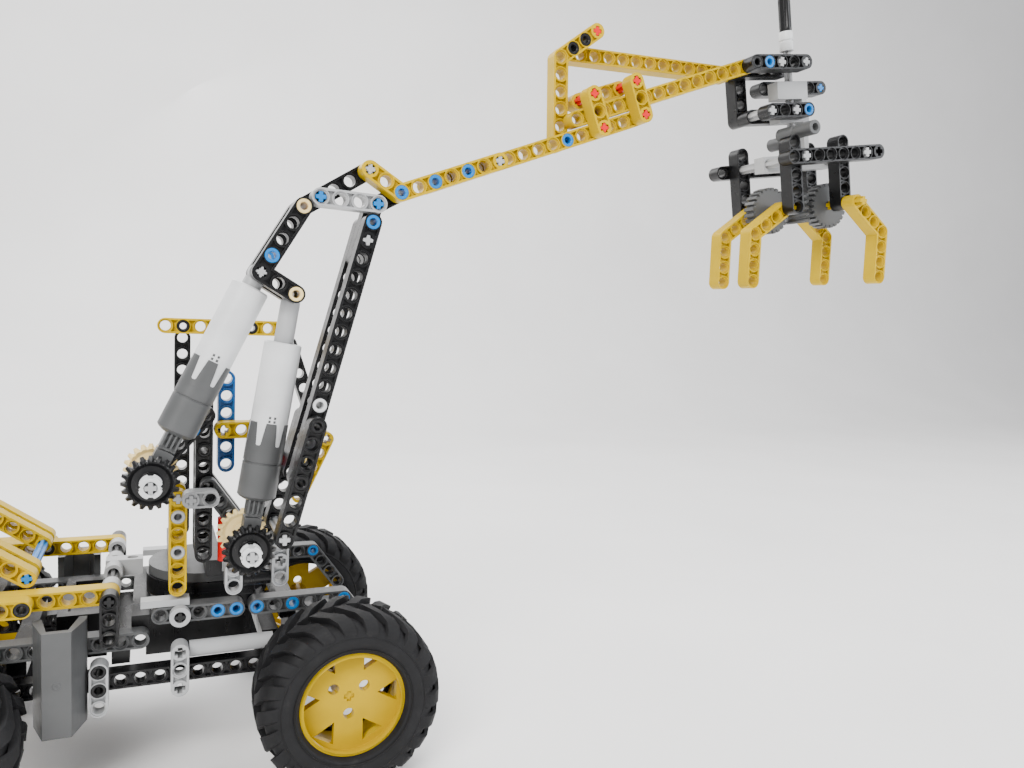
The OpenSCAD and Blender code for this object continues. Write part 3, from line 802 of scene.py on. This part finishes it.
def actuator(number):
    place = actuator_frame(number)
    body = "tube_%d" % number
    name = "actuator_%d_" % number

    def tube(bm):
        lathe(bm, place, TUBE, ridge_relief, closed=True)

    def collar(bm):
        rings = []
        for i in range(ROUND):
            a = 2 * math.pi * i / ROUND
            top = tooth_height(a)
            points = [
                (7.6, BAND_TOP - 2), (BAND_R, BAND_TOP - 2),
                (BAND_R, top - 0.2), (BAND_R - 0.2, top), (7.6, top),
            ]
            rings.append([bm.verts.new(place @ turn(r, a, h)) for r, h in points])
        for i in range(ROUND):
            join(bm, rings[i], rings[(i + 1) % ROUND])

    def band(bm):
        lathe(bm, place, BAND, segments=64)

    def foot(bm):
        block(bm, place, (-3.4, -3.9, FOOT), (3.4, 3.9, NECK_TOP + 1))
        for x in (-2.9, -1.0, 0.9, 2.8):
            for y in (-1, 1):
                near, far = sorted((y * 3.7, y * 5.4))
                block(bm, place, (x - 0.4, near, FOOT + 1.5), (x + 0.4, far, NECK_TOP + 9))
        bore_ring(bm, place @ Matrix.Translation((0, 0, 16.4 * MM)), 3.3, 1.9, -4.3, 4.3)

    def marks(bm):
        for side in (-1, 1):
            near, far = sorted((side * 7.55, side * 7.72))
            for x in (-1.5, 0.5):
                for h in (53.4, 55.0):
                    block(bm, place, (x, near, h), (x + 0.9, far, h + 1.0))

    made = [
        piece(name + "barrel", tube, PALE_GREY, body),
        piece(name + "collar", collar, DARK_GREY, body),
        piece(name + "band", band, DARK_GREY, body),
        piece(name + "neck", foot, DARK_GREY, body),
        piece(name + "marks", marks, DARK_GREY, body),
    ]
    for thing in made:
        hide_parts(body)


# ---- gears --------------------------------------------------------------------------------
def bevelled_gear(node, teeth, root, tip, finish):
    """A toothed disc about Y with a hub, whose teeth narrow and bevel towards both faces."""
    low, high = (Vector(c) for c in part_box(node))
    middle = (low + high) / 2
    half = (high.y - low.y) / 2 / MM
    place = Matrix.Translation(middle) @ ACROSS_Y

    def build(bm):
        face = [
            (2.55, half), (4.3, half), (4.6, half - 1.4),
            (root - 2.0, half - 1.6), (root - 0.8, half - 0.6), (root, half - 1.1),
        ]
        disc = [(r, -h) for r, h in face] + face[::-1]
        lathe(bm, place, disc, segments=60, closed=True)
        # Each station of a tooth is (height, tip radius, half width)
        stations = [
            (-half + 0.3, root - 0.3, 0.45), (-half + 1.5, tip - 0.9, 0.75), (0.0, tip, 0.8),
            (half - 1.5, tip - 0.9, 0.75), (half - 0.3, root - 0.3, 0.45),
        ]
        for i in range(teeth):
            tooth = place @ Matrix.Rotation(2 * math.pi * i / teeth, 4, "Z")
            loops = []
            for h, r, w in stations:
                corners = ((root - 0.6, -w * 1.9), (r, -w * 0.8), (r, w * 0.8), (root - 0.6, w * 1.9))
                loops.append([bm.verts.new(tooth @ (Vector((x, y, h)) * MM)) for x, y in corners])
            for here, there in zip(loops, loops[1:]):
                join(bm, here, there)
            bm.faces.new(loops[0])
            bm.faces.new(loops[-1])
    made = piece(node + "_cut", build, finish, body_of_node(node))
    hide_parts(node)


def worm_wheel(side):
    """A dark toothed wheel that turns with one pair of fingers and covers the plain one."""
    place = Matrix.Translation(JOINTS["claw_%s_close" % side]["pos_m"]) @ ACROSS_Y
    outline = []
    for i in range(24):
        for radius, degrees in ((10.6, -5.4), (12.15, -4.0), (12.15, 4.0), (10.6, 5.4)):
            a = math.radians(15 * i + degrees)
            outline.append((radius * math.cos(a), radius * math.sin(a)))
    stations = [(-3.75, 0.985), (-3.6, 1.0), (3.6, 1.0), (3.75, 0.985)]
    piece("worm_wheel_" + side, lambda bm: prism(bm, place, outline, stations),
          DARK_GREY, "claw_" + side)


# ---- stage and light ----------------------------------------------------------------------
def add_stage():
    """A pale floor that curves up into a back wall."""
    mesh = bpy.data.meshes.new("floor")
    bm = bmesh.new()
    far_y, bend, top, side = 0.9, 0.5, 3.2, 5.0
    profile = [(-1.6, 0.0), (far_y, 0.0)]
    for degrees in range(9, 91, 9):
        a = math.radians(degrees)
        profile.append((far_y + bend * math.sin(a), bend * (1 - math.cos(a))))
    profile.append((far_y + bend, top))
    rows = [[bm.verts.new((x, y, z)) for y, z in profile] for x in (-side, side)]
    for k in range(len(profile) - 1):
        bm.faces.new((rows[0][k], rows[1][k], rows[1][k + 1], rows[0][k + 1]))
    bm.to_mesh(mesh)
    bm.free()
    mesh.materials.append(floor_finish())
    mesh.shade_smooth()
    floor = bpy.data.objects.new("floor", mesh)
    bpy.context.collection.objects.link(floor)


def add_light(name, at, towards, size, power, colour=(1, 1, 1)):
    data = bpy.data.lights.new(name, "AREA")
    data.shape = "RECTANGLE"
    data.size, data.size_y = size
    data.energy = power
    data.color = colour
    lamp = bpy.data.objects.new(name, data)
    lamp.location = at
    lamp.rotation_euler = (Vector(towards) - Vector(at)).to_track_quat("-Z", "Y").to_euler()
    bpy.context.collection.objects.link(lamp)


def add_lights():
    middle = (0.0, 0.0, 0.18)
    add_light("key", (-0.9, -1.3, 1.25), middle, (0.9, 0.9), 52, (1.0, 0.985, 0.96))
    add_light("fill", (1.5, -0.9, 0.7), middle, (1.2, 1.0), 22, (0.95, 0.97, 1.0))
    add_light("top", (0.1, 0.2, 1.5), middle, (1.4, 1.1), 30)
    add_light("back", (-0.5, 1.0, 0.9), (0, 0, 0.2), (1.2, 0.6), 7)
    world = bpy.data.worlds.new("soft_room")
    world.use_nodes = True
    world.node_tree.nodes["Background"].inputs["Color"].default_value = (0.93, 0.95, 1.0, 1)
    world.node_tree.nodes["Background"].inputs["Strength"].default_value = 0.6
    bpy.context.scene.world = world


add_camera()
dress_cad()
for corner in ("fr", "fl", "rr", "rl"):
    tyre("tyre_" + corner)
for number in (1, 2):
    actuator(number)
    bevelled_gear("gear_%d" % number, 20, 9.0, 10.9, BLACK)
    bevelled_gear("bevel_%d" % number, 20, 9.2, 10.9, TAN)
    drive_axle(number)
for side in ("left", "right"):
    worm_wheel(side)
add_pins()
add_stubs()
add_crank()
add_details()
add_stage()
add_lights()
